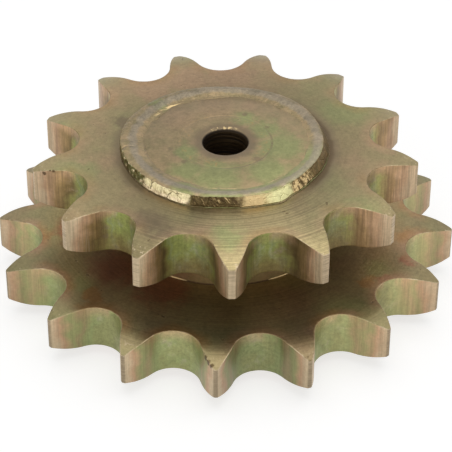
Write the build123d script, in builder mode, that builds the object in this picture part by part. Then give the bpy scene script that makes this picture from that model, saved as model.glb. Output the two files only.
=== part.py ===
"""Stepped chain sprocket, a welded assembly that turns as one piece (millimetres).

Two toothed plates of one chain pitch, the upper with fewer teeth than the lower,
sit on the two ends of a turned hub. Each plate is bored to fit a spigot of the
hub, rests against the hub's collar, and is held by one weld that runs round the
bevelled end of the spigot. The welds were dressed on a lathe.

The origin is on the bore axis, level with the lowest point of the lower weld,
and +Z runs up the bore towards the smaller plate.
"""
import os
from math import cos, radians, sin, sqrt

from build123d import *

# ---- Chain and tooth form ----
chain_pitch = 19.05          # pin to pin
roller_dia = 12.07
roller_play = 0.165          # seat radius beyond the roller's own radius
seating_angle = 123.0        # degrees of the seat that the roller can touch
flank_radius = 27.0          # bulging working flank
tip_height = 4.0             # from the pitch circle out to the tooth tips
tip_corner = 0.45            # breaks the corner where a flank meets the tip

# ---- Plates ----
small_teeth = 13
large_teeth = 16
plate_thickness = 10.6
side_radius = 19.05          # lead-in turned on both sides of the teeth
side_relief = 1.45           # how far the lead-in drops at the tips
plate_gap = 9.2              # free space between the two plates
small_plate_turn = 4.0       # degrees, how the upper plate was set before welding

# ---- Hub ----
bore_dia = 10.2              # pilot bore
bore_chamfer = 0.8
spigot_dia = 40.0
spigot_play = 0.05           # radial clearance of a plate on its spigot
collar_step = 5.1            # the collar's shoulder beyond the spigot
collar_edge = 0.5            # chamfer on the collar's two corners
hub_stand = 1.9              # the hub's ends beyond the plates, bevelled for the welds

# ---- Welds ----
weld_edge = 0.45             # height of the bead's two edges above the hub's end
weld_crown = 0.25            # how much higher the top of the bead stands
weld_shoulder = 1.0          # slope from each edge up to the top
weld_reach = 2.0             # outer edge of the bead's top, beyond the spigot
weld_leg = 3.9               # foot of the bead, beyond the spigot
toe_width = 1.2              # shallow ring that the dressing tool cut round the bead
toe_depth = 0.3

# ---- Heights, from the floor up ----
hub_bottom = weld_edge + weld_crown
large_bottom = hub_bottom + hub_stand
large_top = large_bottom + plate_thickness
small_bottom = large_top + plate_gap
small_top = small_bottom + plate_thickness
hub_top = small_top + hub_stand

# ---- Radii ----
bore_radius = bore_dia / 2
spigot_radius = spigot_dia / 2
spigot_end_radius = spigot_radius - hub_stand
collar_radius = spigot_radius + collar_step
weld_foot_radius = spigot_radius + weld_leg

cut_margin = 2.0             # how far a cutter passes beyond the metal

# Section planes whose X is the radius. Their Y leaves the plate's outer face, which is
# the face with the weld: upwards on the small plate and downwards on the large one.
upper_face = Plane((0, 0, small_top), x_dir=(1, 0, 0), z_dir=(0, -1, 0))
lower_face = Plane((0, 0, large_bottom), x_dir=(1, 0, 0), z_dir=(0, 1, 0))


def pitch_radius(teeth):
    """Radius of the circle on which the centres of the seated rollers lie."""
    return chain_pitch / (2 * sin(radians(180 / teeth)))


def tooth_gap(teeth):
    """The space between two teeth, opening along +X.

    A hollow seat about the roller's centre turns smoothly into a bulging flank, and a
    small flat breaks the corner at the tip circle. The other half is its mirror.
    """
    roller_centre = Vector(pitch_radius(teeth), 0)
    tip_radius = pitch_radius(teeth) + tip_height
    seat_radius = roller_dia / 2 + roller_play
    seat_end_angle = 180 - seating_angle / 2
    seat_end_way = Vector(cos(radians(seat_end_angle)), sin(radians(seat_end_angle)))
    flank_centre = roller_centre + seat_end_way * (seat_radius + flank_radius)

    # The flat spans a corner circle that touches the tip circle and the flank's circle
    # from inside, so its centre lies at a known distance from the centres of both.
    from_axis = tip_radius - tip_corner
    from_flank = flank_radius - tip_corner
    centre_span = flank_centre.length
    along = (from_axis**2 - from_flank**2 + centre_span**2) / (2 * centre_span)
    aside = sqrt(from_axis**2 - along**2)
    flank_way = flank_centre.normalized()
    corner_centre = flank_way * along + Vector(flank_way.Y, -flank_way.X) * aside
    flank_end = flank_centre + (corner_centre - flank_centre).normalized() * flank_radius
    tip_start = corner_centre.normalized() * tip_radius
    outside = corner_centre.normalized() * (tip_radius + cut_margin)

    with BuildSketch() as gap:
        with BuildLine():
            seat = CenterArc(roller_centre, seat_radius, seat_end_angle, seating_angle / 2)
            TangentArc(seat @ 0, flank_end, tangent=-(seat % 0))
            Line(flank_end, tip_start)
            Line(tip_start, outside)
            Line(outside, (outside.X, 0))
            mirror(about=Plane.XZ)
        make_face()
    return gap.sketch


def toothed_plate(teeth, outer_face, bottom, first_tooth_angle):
    """A disc turned with lead-ins, a bore and the ring round the weld, then cut into teeth.

    Each lead-in is two straight tapers, whose three corners lie on the side radius.
    """
    gap = tooth_gap(teeth)
    tip_radius = pitch_radius(teeth) + tip_height
    lead_in = sqrt(side_radius**2 - (side_radius - side_relief) ** 2)
    flat_radius = tip_radius - lead_in
    knee_radius = tip_radius - lead_in / 2
    knee_relief = side_radius - sqrt(side_radius**2 - (lead_in / 2) ** 2)
    with BuildPart() as plate:
        with BuildSketch(outer_face):
            with BuildLine():
                Polyline(
                    (spigot_radius + spigot_play, 0),
                    (weld_foot_radius, 0),
                    (weld_foot_radius + toe_width / 2, -toe_depth),
                    (weld_foot_radius + toe_width, 0),
                    (flat_radius, 0),
                    (knee_radius, -knee_relief),
                    (tip_radius, -side_relief),
                    (tip_radius, side_relief - plate_thickness),
                    (knee_radius, knee_relief - plate_thickness),
                    (flat_radius, -plate_thickness),
                    (spigot_radius + spigot_play, -plate_thickness),
                    close=True,
                )
            make_face()
        revolve(axis=Axis.Z)
        with BuildSketch(Plane.XY.offset(bottom - cut_margin)):
            with PolarLocations(0, teeth, start_angle=first_tooth_angle + 180 / teeth):
                add(gap)
        extrude(amount=plate_thickness + 2 * cut_margin, mode=Mode.SUBTRACT)
    return plate


def weld_ring(outer_face):
    """One bead: it fills the spigot's bevel, laps the hub's end and sits on the plate."""
    top_inner_radius = spigot_end_radius + weld_shoulder
    top_outer_radius = spigot_radius + weld_reach - weld_shoulder
    edge_height = hub_stand + weld_edge
    top_height = edge_height + weld_crown
    with BuildPart() as bead:
        with BuildSketch(outer_face):
            with BuildLine():
                Polyline(
                    (spigot_end_radius, hub_stand),
                    (spigot_end_radius, edge_height),
                    (top_inner_radius, top_height),
                    (top_outer_radius, top_height),
                    (spigot_radius + weld_reach, edge_height),
                    (weld_foot_radius, 0),
                    (spigot_radius, 0),
                    close=True,
                )
            make_face()
        revolve(axis=Axis.Z)
    return bead


# ---- Hub: collar between the plates, a bevelled spigot for each, and the pilot bore ----
with BuildPart() as hub:
    with BuildSketch(Plane.XZ):
        with BuildLine():
            Polyline(
                (bore_radius, hub_bottom + bore_chamfer),
                (bore_radius + bore_chamfer, hub_bottom),
                (spigot_end_radius, hub_bottom),
                (spigot_radius, large_bottom),
                (spigot_radius, large_top),
                (collar_radius - collar_edge, large_top),
                (collar_radius, large_top + collar_edge),
                (collar_radius, small_bottom - collar_edge),
                (collar_radius - collar_edge, small_bottom),
                (spigot_radius, small_bottom),
                (spigot_radius, small_top),
                (spigot_end_radius, hub_top),
                (bore_radius + bore_chamfer, hub_top),
                (bore_radius, hub_top - bore_chamfer),
                close=True,
            )
        make_face()
    revolve(axis=Axis.Z)

# ---- Toothed plates ----
small_sprocket = toothed_plate(small_teeth, upper_face, small_bottom, small_plate_turn - 90)
large_sprocket = toothed_plate(large_teeth, lower_face, large_bottom, -90)

# ---- Welds ----
upper_weld = weld_ring(upper_face)
lower_weld = weld_ring(lower_face)

# ---- Files ----
os.makedirs("parts", exist_ok=True)
hub.part.label = "hub"
export_step(hub.part, "parts/hub.step")
small_sprocket.part.label = "small_sprocket"
export_step(small_sprocket.part, "parts/small_sprocket.step")
large_sprocket.part.label = "large_sprocket"
export_step(large_sprocket.part, "parts/large_sprocket.step")
upper_weld.part.label = "upper_weld"
export_step(upper_weld.part, "parts/upper_weld.step")
lower_weld.part.label = "lower_weld"
export_step(lower_weld.part, "parts/lower_weld.step")
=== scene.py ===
"""Stepped chain sprocket: two toothed plates on one turned hub, welded and zinc plated.

Sizes are in metres, the bore's axis is Z, and every piece keeps its place in its mesh.
"""
import math

import bpy
import bmesh
from bpy.props import FloatProperty, FloatVectorProperty, IntProperty, PointerProperty
from mathutils import Matrix, Vector


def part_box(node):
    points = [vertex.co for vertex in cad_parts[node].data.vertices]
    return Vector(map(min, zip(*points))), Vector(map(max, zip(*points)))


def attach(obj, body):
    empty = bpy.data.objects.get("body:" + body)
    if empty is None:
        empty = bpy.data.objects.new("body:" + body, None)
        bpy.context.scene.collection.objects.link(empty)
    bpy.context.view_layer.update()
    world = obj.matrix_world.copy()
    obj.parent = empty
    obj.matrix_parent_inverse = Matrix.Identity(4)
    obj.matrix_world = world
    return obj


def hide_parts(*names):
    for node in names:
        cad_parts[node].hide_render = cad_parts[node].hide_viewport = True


bl_info = {
    "name": "Stepped Chain Sprocket",
    "version": (1, 0, 0),
    "blender": (4, 5, 0),
    "location": "3D View > Sidebar > Sprocket",
    "description": "Makes a welded two-row chain sprocket with a yellow zinc finish",
    "category": "Add Mesh",
}

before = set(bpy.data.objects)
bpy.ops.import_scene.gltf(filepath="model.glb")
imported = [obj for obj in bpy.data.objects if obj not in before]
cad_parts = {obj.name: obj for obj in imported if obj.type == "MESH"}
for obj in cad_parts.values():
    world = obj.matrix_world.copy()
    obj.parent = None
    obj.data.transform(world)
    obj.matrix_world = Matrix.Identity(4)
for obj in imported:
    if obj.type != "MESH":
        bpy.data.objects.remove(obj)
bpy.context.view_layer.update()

MM = 0.001
BODY = "root"
SEAM_GAP = 1e-6  # points closer than this are one point
WHOLE_SLACK = 1e-4  # keeps a whole number whole when it is rounded down
SPIGOT_RADIUS = 20.0 * MM  # of the hub inside both plates
SCRIBED_RADIUS = 10.6 * MM  # of the ring cut in the hub's face
WELD_FOOT_RADIUS = 23.6 * MM
UPPER_FACE_HEIGHT = 33.0 * MM  # top of the upper plate
METALLIC = 0.85  # of the plating, on all but the walls of the tooth gaps
WHITE = (1.0, 1.0, 1.0)


# --- Node trees ---


def tree_of(*items):
    """The node tree of the first Term or socket among the items."""
    sockets = (getattr(item, "socket", item) for item in items)
    return next(item.id_data for item in sockets if isinstance(item, bpy.types.NodeSocket))


def plug(item, socket):
    """Gives a node's input a link where item is a Term or a socket, or else a plain value."""
    item = getattr(item, "socket", item)
    if isinstance(item, bpy.types.NodeSocket):
        socket.id_data.links.new(item, socket)
    elif socket.type == "RGBA":
        socket.default_value = (*item[:3], 1.0)
    else:
        socket.default_value = item


def add_node(tree, kind, inputs=None, **settings):
    """A new node with its settings and inputs; an input is named, or numbered from 0."""
    node = tree.nodes.new(kind)
    for name, value in settings.items():
        setattr(node, name, value)
    for name, item in (inputs or {}).items():
        plug(item, node.inputs[name])
    return node


def sign(operation, turned_round=False):
    """A method that adds one Math node. Turned round, its Term stands after the other one."""
    def method(term, *others):
        items = (*others, term) if turned_round else (term, *others)
        node = add_node(
            tree_of(term), "ShaderNodeMath", dict(enumerate(items)), operation=operation)
        return Term(node.outputs[0])
    return method


class Term:
    """A number in a node tree. Python's signs add Math nodes, so a rule reads as written."""

    def __init__(self, socket):
        self.socket = socket

    __add__ = __radd__ = sign("ADD")
    __sub__ = sign("SUBTRACT")
    __rsub__ = sign("SUBTRACT", turned_round=True)
    __mul__ = __rmul__ = sign("MULTIPLY")
    __truediv__ = sign("DIVIDE")
    __pow__ = sign("POWER")
    __rtruediv__ = sign("DIVIDE", turned_round=True)
    sin = sign("SINE")
    cos = sign("COSINE")
    root = sign("SQRT")
    floor = sign("FLOOR")
    exponential = sign("EXPONENT")
    angle_from = sign("ARCTAN2")
    least = sign("MINIMUM")
    most = sign("MAXIMUM")
    below = sign("LESS_THAN")
    above = sign("GREATER_THAN")

    def __neg__(self):
        return self * -1.0

    def clamp(self):
        return self.most(0.0).least(1.0)

    def near_zero(self, low, high):
        """1 at 0, fading to 0 as its square goes from low to high."""
        return 1 - (self * self).smooth(low, high)

    def smooth(self, low, high):
        """0 up to low, 1 from high on, and a smooth step between."""
        node = add_node(
            tree_of(self), "ShaderNodeMapRange",
            {"Value": self, "From Min": low, "From Max": high}, interpolation_type="SMOOTHSTEP")
        return Term(node.outputs["Result"])


def pick(switch, off, on):
    """off where switch is 0 and on where it is 1."""
    return (on - off) * switch + off


def length(x, y):
    return (x * x + y * y).root()


def point(x, y, z):
    """A vector made of three amounts, at least one of them a Term."""
    return add_node(tree_of(x, y, z), "ShaderNodeCombineXYZ", {0: x, 1: y, 2: z}).outputs[0]


def noise(place, scale, detail, roughness, seed, distortion=0.0):
    """Smooth noise from 0 to 1 about the place given; seed picks another pattern."""
    node = add_node(
        tree_of(place), "ShaderNodeTexNoise",
        {"Vector": place, "W": seed, "Scale": scale, "Detail": detail, "Roughness": roughness,
         "Distortion": distortion}, noise_dimensions="4D")
    return Term(node.outputs[0])


def start_tree(name, sizes):
    """A geometry tree with named inputs and their defaults, None being that of a material."""
    kinds = {int: "NodeSocketInt", float: "NodeSocketFloat", type(None): "NodeSocketMaterial"}
    tree = bpy.data.node_groups.new(name, "GeometryNodeTree")
    tree.interface.new_socket("Geometry", in_out="OUTPUT", socket_type="NodeSocketGeometry")
    for label, default in sizes.items():
        socket = tree.interface.new_socket(
            label, in_out="INPUT", socket_type=kinds[type(default)])
        if default is not None:
            socket.default_value = default
    source = tree.nodes.new("NodeGroupInput")
    return tree, {label: Term(source.outputs[label]) for label in sizes}


def end_tree(tree, geometry, material):
    """Merges the seams, smooths the shading and gives the result its material."""
    for kind, inputs in (
            ("GeometryNodeMergeByDistance", {"Distance": SEAM_GAP}),
            ("GeometryNodeSetShadeSmooth", {}),
            ("GeometryNodeRealizeInstances", {}),
            ("GeometryNodeSetMaterial", {"Material": material})):
        geometry = add_node(tree, kind, {"Geometry": geometry, **inputs}).outputs[0]
    add_node(tree, "NodeGroupOutput", {"Geometry": geometry})


def along_section(station, amounts):
    """The amount that belongs to each point's station on the section."""
    node = add_node(tree_of(station), "GeometryNodeIndexSwitch", data_type="FLOAT")
    while len(node.index_switch_items) < len(amounts):
        node.index_switch_items.new()
    for number, item in enumerate((station, *amounts)):
        plug(item, node.inputs[number])
    return Term(node.outputs[0])


def closed_grid(tree, columns, stations):
    """A grid whose columns go round the axis and whose rows go round the section.

    Gives the geometry, each point's column and its station. The last column and the last
    row lie on the first ones, and are merged with them at the end.
    """
    grid = add_node(
        tree, "GeometryNodeMeshGrid", {"Vertices X": columns + 1, "Vertices Y": stations + 1})
    index = Term(add_node(tree, "GeometryNodeInputIndex").outputs[0])
    column = (index / (stations + 1.0) + WHOLE_SLACK).floor()
    return grid.outputs["Mesh"], column, index - column * (stations + 1.0)


def mark(geometry, name, amount):
    """Keeps an amount on the points for the material to read."""
    node = add_node(
        tree_of(geometry), "GeometryNodeStoreNamedAttribute",
        {"Geometry": geometry, "Name": name, "Value": amount}, data_type="FLOAT", domain="POINT")
    return node.outputs[0]


def place_points(geometry, x, y, z):
    """Moves each point of the grid to its own place."""
    node = add_node(
        tree_of(geometry), "GeometryNodeSetPosition",
        {"Geometry": geometry, "Position": point(x, y, z)})
    return node.outputs[0]


# --- Toothed plates ---

# Steps along half a tooth gap, from the middle of its seat to the middle of a tip.
SEAT_STEPS = 11
FLANK_STEPS = 13
CORNER_STEPS = 4
TIP_STEPS = 2
HALF_TOOTH_STEPS = SEAT_STEPS + FLANK_STEPS + CORNER_STEPS + TIP_STEPS
TOOTH_STEPS = 2 * HALF_TOOTH_STEPS

# Rows across the section. A cap share is how far a row lies from the teeth's outline to the
# circle inside them; a wall row is a share of the half thickness; the groove's shape gives
# shares of its width and depth.
ROUNDING_STEPS = 4
CAP_SHARES = (0.05, 0.12, 0.21, 0.32, 0.45, 0.6, 0.8, 1.0)
WALL_ROWS = (0.93, 0.62, 0.21, -0.21, -0.62, -0.93)
CAP_INSET = 0.12 * MM
BORE_EDGE = 0.15 * MM
GROOVE_SHAPE = ((1.1, 0.0), (0.98, 0.1), (0.78, 0.62), (0.55, 1.0), (0.4, 1.0), (0.2, 0.75),
                (0.03, 0.15), (-0.1, 0.0))

# How each plate's finish differs, in millimetres and degrees.
# On the faces: patches of a colour, as x, y and size; rise, painted light towards the teeth;
# deep, painted light and an amber tint near the middle; light, painted sheen and shade in
# sectors, as middle, half width, softness, inner radius and amount; turned, how crisp the
# rings are in front; halo, the tint round the gaps; nicks, as x, y, z and size.
# In the tooth gaps: wall, the colours from the root out to the tips; low, brown low in the
# root; root, painted light in the root; lift, painted light in mid-wall at the sides;
# painted_wall_light, painted light and shade as middle, half width and amount; streak, how
# strong the streaks are; land, painted highlight on the tips.
LOOKS = {
    "small_sprocket": {
        "pink": ((-10, 29, 8), (-1, 31, 8), (-18, 24, 6), (36, 5, 5), (31, -21, 3)),
        "green": ((27, 17, 8), (-34, -12, 7), (-39, 4, 7), (2, -34, 5), (30, -22, 5)),
        "soil": ((-15, -28.5, 5.5), (-12, -33, 3), (-24, 10, 3)),
        "rise": 0.3,
        "wall": ((0.0, "leaf"), (0.09, "moss"), (0.16, "leaf"), (0.25, "olive"), (0.36, "umber"),
                 (0.53, "ochre"), (0.72, "rose"), (0.9, "cream")),
        "low": 0.75,
        "root": 0.84,
        "deep": 0.0,
        "light": ((284, 11, 13, 18, 0.27), (245, 16, 12, 18, -0.16), (244, 12, 10, 36, -0.25),
                  (222, 18, 14, 30, -0.08), (75, 30, 20, 18, -0.1), (0, 50, 20, 18, -0.05)),
        "turned": 0.5,
        "painted_wall_light": ((239, 10, 0.12), (300, 6, -0.14)),
        "lift": 0.4,
        "streak": 1.0,
        "halo": 0.35,
        "land": 1.1,
        "nicks": ((-40.2, -9.8, 31.7, 0.6), (-38.1, -10.2, 32.6, 0.5), (-38.9, -10.0, 32.7, 0.35)),
    },
    "large_sprocket": {
        "rust": ((-23, -20, 8), (-13, -27, 8), (-34, -6, 6), (41.5, -14, 2.2), (36.5, -22, 2.5)),
        "green": ((-31, -26, 4.5), (27, -33, 7), (35, -17.5, 4), (-39, -7, 4)),
        "amber": ((44, -6, 5), (-44, -10, 4), (33, -23, 3), (-28, -30, 3)),
        "rise": 0.0,
        "wall": ((0.0, "green"), (0.14, "moss"), (0.3, "green"), (0.46, "tan"), (0.62, "green"),
                 (0.8, "rose"), (0.97, "cream")),
        "low": 0.0,
        "root": 1.04,
        "deep": 0.36,
        "light": ((270, 7, 6, 43, 0.5), (240, 12, 10, 24, 0.1), (268, 9, 8, 16, -0.15),
                  (212, 12, 10, 28, -0.12)),
        "turned": 0.12,
        "painted_wall_light": ((259, 9, 0.16), (281, 8, -0.14), (304, 9, 0.16), (340, 22, 0.1)),
        "lift": 0.32,
        "streak": 0.5,
        "halo": 0.8,
        "land": 0.3,
        "nicks": ((-2.4, -49.5, 12.3, 0.8), (-1.6, -50.6, 12.1, 0.8), (-0.8, -51.6, 11.9, 0.7)),
    },
}


def toothed_plate_tree():
    """A turned disc cut into teeth, as one rule for every point of one closed grid.

    Along the outline a point lies on the seat's arc, the flank's arc, the corner or the
    tip. Across the section it lies on the rim, an edge rounding, a lead-in, the groove
    round the weld or the bore.
    """
    tree, size = start_tree("Toothed plate", {
        "Teeth": 13,
        "Columns": 13 * TOOTH_STEPS,
        "Chain Pitch": 19.05 * MM,
        "Seat Radius": 6.2 * MM,
        "Seating Angle": math.radians(123),
        "Flank Radius": 27 * MM,
        "Tip Height": 4 * MM,
        "Tip Corner": 0.45 * MM,
        "Thickness": 10.6 * MM,
        "Side Radius": 19.05 * MM,
        "Side Relief": 1.45 * MM,
        "Edge Rounding": 0.18 * MM,
        "Burr": 0.05 * MM,
        "Groove Radius": 23.9 * MM,
        "Groove Width": 1.2 * MM,
        "Top Groove Depth": 0.3 * MM,
        "Bottom Groove Depth": 0.0,
        "Bore Radius": SPIGOT_RADIUS + 0.05 * MM,
        "Bottom Height": 0.0,
        "Turn": 0.0,
        "Seed": 1.0,
        "Material": None,
    })
    teeth, seat, flank = size["Teeth"] * 1.0, size["Seat Radius"], size["Flank Radius"]
    half_pitch = math.pi / teeth
    pitch_radius = size["Chain Pitch"] / (half_pitch.sin() * 2)
    tip_radius = pitch_radius + size["Tip Height"]

    stations = 2 * (ROUNDING_STEPS + 2 + len(CAP_SHARES) + len(GROOVE_SHAPE) + 2) + len(WALL_ROWS)
    geometry, column, station = closed_grid(tree, size["Columns"], stations)

    # Where the column stands on the outline: its gap, and its step out from the gap's root.
    gap = (column / TOOTH_STEPS + WHOLE_SLACK).floor()
    step = column - gap * TOOTH_STEPS
    mirrored = step.above(HALF_TOOTH_STEPS + 0.5)
    step = pick(mirrored, step, TOOTH_STEPS - step)
    side = 1 - mirrored * 2

    # Centres of the arcs, in a frame whose X runs through the roller of this gap.
    seat_end = math.pi - size["Seating Angle"] / 2
    flank_x = pitch_radius + seat_end.cos() * (seat + flank)
    flank_y = seat_end.sin() * (seat + flank)
    centre_span = length(flank_x, flank_y)
    from_axis = tip_radius - size["Tip Corner"]
    from_flank = flank - size["Tip Corner"]
    forward = (from_axis * from_axis - from_flank * from_flank + centre_span * centre_span) / (
        centre_span * 2)
    aside = (from_axis * from_axis - forward * forward).root()
    corner_x = (flank_x * forward + flank_y * aside) / centre_span
    corner_y = (flank_y * forward - flank_x * aside) / centre_span
    flank_start = seat_end - math.pi
    flank_end = (corner_y - flank_y).angle_from(corner_x - flank_x)
    corner_end = corner_y.angle_from(corner_x)

    def arc(start, count, centre_x, centre_y, radius, begin, end, outward=1.0):
        """A point of one arc and the outline's normal there."""
        turn = begin + (end - begin) * ((step - start) / count).clamp()
        x, y = turn.cos(), turn.sin()
        return centre_x + x * radius, centre_y + y * radius, x * outward, y * outward

    flank_step = SEAT_STEPS
    corner_step = flank_step + FLANK_STEPS
    tip_step = corner_step + CORNER_STEPS
    place = arc(0, SEAT_STEPS, pitch_radius, 0.0, seat, math.pi, seat_end, -1.0)
    for start, following in (
            (flank_step, arc(flank_step, FLANK_STEPS, flank_x, flank_y, flank, flank_start,
                             flank_end)),
            (corner_step, arc(corner_step, CORNER_STEPS, corner_x, corner_y, size["Tip Corner"],
                              flank_end, corner_end)),
            (tip_step, arc(tip_step, TIP_STEPS, 0.0, 0.0, tip_radius, corner_end,
                           half_pitch))):
        past = step.above(start + 0.01)
        place = [pick(past, before, after) for before, after in zip(place, following)]
    x, y, out_x, out_y = place
    y, out_y = y * side, out_y * side

    # Turned to its own gap. The plate's first tooth stands at the angle Turn.
    angle = (gap + mirrored) * half_pitch * 2 + half_pitch + size["Turn"]
    cosine, sine = angle.cos(), angle.sin()
    x, y = x * cosine - y * sine, x * sine + y * cosine
    out_x, out_y = out_x * cosine - out_y * sine, out_x * sine + out_y * cosine

    # The section, from the rim's upper edge inwards, down the bore and back under.
    seed = size["Seed"]
    worn = noise(point(x / MM, y / MM, 0.0), 0.55, 3.0, 0.6, seed)
    rounding = size["Edge Rounding"] * (worn * 1.3 + 0.35)
    clear_circle = pitch_radius - seat - 1.2 * MM

    def section_face(level, groove_depth):
        """One face from the rim to the bore.

        Each row gives its inset from the outline, its drop below the face, its ring's radius,
        the share of the way to that ring, its level and how much it belongs to the wall.
        """
        rows = []
        for number in range(ROUNDING_STEPS + 1):
            a = math.pi / 2 * number / ROUNDING_STEPS
            rows.append((rounding * (1 - math.cos(a)), rounding * (1 - math.sin(a)), 0.0, 0.0,
                         level, math.cos(a)))
        for share in (0.0, *CAP_SHARES):
            ring = clear_circle if share else 0.0
            rows.append((rounding + CAP_INSET, 0.0, ring, share, level, 0.0))
        for across, depth in GROOVE_SHAPE:
            ring = size["Groove Radius"] + size["Groove Width"] * across
            rows.append((0.0, groove_depth * depth, ring, 1.0, level, 0.0))
        bore = size["Bore Radius"]
        return rows + [(0.0, 0.0, bore + BORE_EDGE, 1.0, level, 0.0),
                       (0.0, BORE_EDGE, bore, 1.0, level, 1.0)]

    rows = section_face(1.0, size["Top Groove Depth"])
    rows += section_face(-1.0, size["Bottom Groove Depth"])[::-1]
    rows += [(0.0, rounding, 0.0, 0.0, level, 1.0) for level in reversed(WALL_ROWS)]
    rows.append(rows[0])
    inset, drop, ring, share, level, wall = (
        along_section(station, amounts) for amounts in zip(*rows))

    span = length(x, y)
    round_x, round_y = x / span, y / span
    x = pick(share, x - out_x * inset, round_x * ring)
    y = pick(share, y - out_y * inset, round_y * ring)
    radius = length(x, y)
    side_radius = size["Side Radius"]
    relief = size["Side Relief"]
    run = (side_radius * side_radius - (side_radius - relief) ** 2.0).root()
    past_flat = (radius - (tip_radius - run)).most(0.0).least(run)
    lead = side_radius - (side_radius * side_radius - past_flat * past_flat).root()
    half_thickness = size["Thickness"] / 2
    z = half_thickness + level * (half_thickness - lead - drop)

    # The cutter left a fine, broken burr where it came out of the upper edge.
    at_edge = (1 - share) * (wall - 0.55).most(0.0) * (1 - wall) * 8 * level.above(0.98)
    tooth_noise = noise(point(x / MM, y / MM, 0.0), 0.35, 4.0, 0.65, seed + 3.0)
    z = z + at_edge * tooth_noise.smooth(0.5, 0.7) * size["Burr"]
    geometry = place_points(geometry, x, y, z + size["Bottom Height"])
    geometry = mark(geometry, "rim", wall * (1 - share))
    geometry = mark(geometry, "level", level)
    end_tree(tree, geometry, size["Material"])
    return tree


# --- Welds ---

# The bead's section: a share of the way out over the crown or down the side, and a height.
CROWN_SHAPE = ((0.0, -0.04), (0.05, 0.03), (0.12, 0.1), (0.2, 0.21), (0.3, 0.37), (0.4, 0.55),
               (0.5, 0.72), (0.6, 0.88), (0.7, 0.98), (0.79, 1.0), (0.88, 0.94), (0.94, 0.84))
SIDE_SHAPE = ((0.0, 1.0), (0.12, 0.93), (0.26, 0.8), (0.4, 0.66), (0.53, 0.52), (0.65, 0.39),
              (0.76, 0.26), (0.86, 0.14), (0.94, 0.06), (1.0, 0.01))

# Where the bead bulges or draws in: angle and width in degrees, and millimetres outwards.
TOP_WAVES = ((90, 18, -0.5), (46, 18, 0.4), (328, 18, -0.5), (297, 8, 0.35), (272, 9, -0.3),
             (172, 26, 0.5), (222, 12, -0.25))
FOOT_WAVES = ((228, 16, 0.35), (250, 8, 0.4), (302, 8, 0.9), (272, 6, -0.3), (330, 16, -0.4),
              (288, 6, 0.2))

# Where the dressing tool snatched and tore the side: angle, width and strength.
SNATCHES = ((210, 13, 1.3), (234, 12, 0.5), (258, 12, 0.7), (326, 10, 0.8))
LEAN_ANGLE = 175  # the way in which the whole bead stands off centre


def near(angle, middle, width):
    """1 at an angle and fading to 0 within a width either side, all in degrees."""
    away = (angle - math.radians(middle)).cos() - 1
    return (away / math.radians(width) ** 2 * 2).exponential()


def waved(radius, angle, waves):
    """A radius that swells and shrinks as it goes round."""
    for middle, width, rise in waves:
        radius = radius + near(angle, middle, width) * rise * MM
    return radius


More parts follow.
